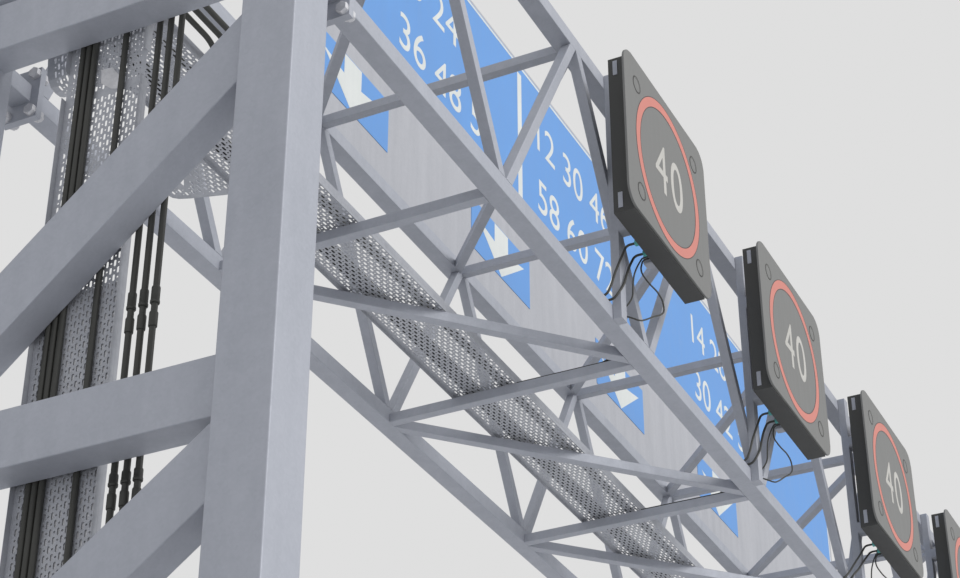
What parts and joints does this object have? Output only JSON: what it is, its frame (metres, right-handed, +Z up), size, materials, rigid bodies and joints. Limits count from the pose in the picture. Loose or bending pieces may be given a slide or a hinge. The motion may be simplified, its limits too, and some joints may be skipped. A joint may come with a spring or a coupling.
{
  "type": "overhead sign gantry",
  "caption": "Road gantry: box truss on two braced leg towers, carrying a direction sign, lane signals and a cable tray.",
  "frame": {"origin": "ground level in the middle of the whole, between the two leg towers, under the sign face and lane signals", "axes": "+X along the span from the near leg to the far leg, +Y to the rear away from traffic that reads the sign, +Z up"},
  "size_m": [26.16, 3.77, 14.13],
  "materials": {
    "galvanised": "dull galvanised steel, faintly mottled",
    "tray": "galvanised perforated sheet",
    "sheet": "bare grey sign backing sheet",
    "blue": "retroreflective blue sheeting",
    "case": "satin dark grey",
    "signal_face": "matt grey with a thin red ring and pale digits",
    "cable": "matt black sheath",
    "gland": "teal green moulded plastic"
  },
  "bodies": {
    "root": {"arrow_panels": "blue", "bottom_bracing": "galvanised", "chord_front_bottom": "galvanised", "chord_front_top": "galvanised", "chord_rear_bottom": "galvanised", "chord_rear_top": "galvanised", "direction_panel": "blue", "far_base_plates": "galvanised", "far_chord_stubs": "galvanised", "far_diagonals": "galvanised", "far_front_post": "galvanised", "far_rear_post": "galvanised", "far_struts": "galvanised", "front_web": "galvanised", "leg_flanges": "galvanised", "main_cables": "cable", "near_base_plates": "galvanised", "near_chord_stubs": "galvanised", "near_diagonals": "galvanised", "near_front_post": "galvanised", "near_rear_post": "galvanised", "near_struts": "galvanised", "rear_web": "galvanised", "riser_tray": "tray", "side_cables": "cable", "side_plate": "tray", "side_trough": "tray", "sign_board": "sheet", "sign_brackets": "galvanised", "sign_posts": "galvanised", "signal_1_case": "case", "signal_1_face": "signal_face", "signal_2_case": "case", "signal_2_face": "signal_face", "signal_3_case": "case", "signal_3_face": "signal_face", "signal_4_case": "case", "signal_4_face": "signal_face", "signal_clamps": "galvanised", "signal_glands": "gland", "signal_leads": "cable", "signal_poles": "galvanised", "signal_rails": "galvanised", "signal_wires": "cable", "span_tray": "tray", "top_bracing": "galvanised", "tray_bend": "tray", "truss_flanges": "galvanised"}
  },
  "joints": []
}
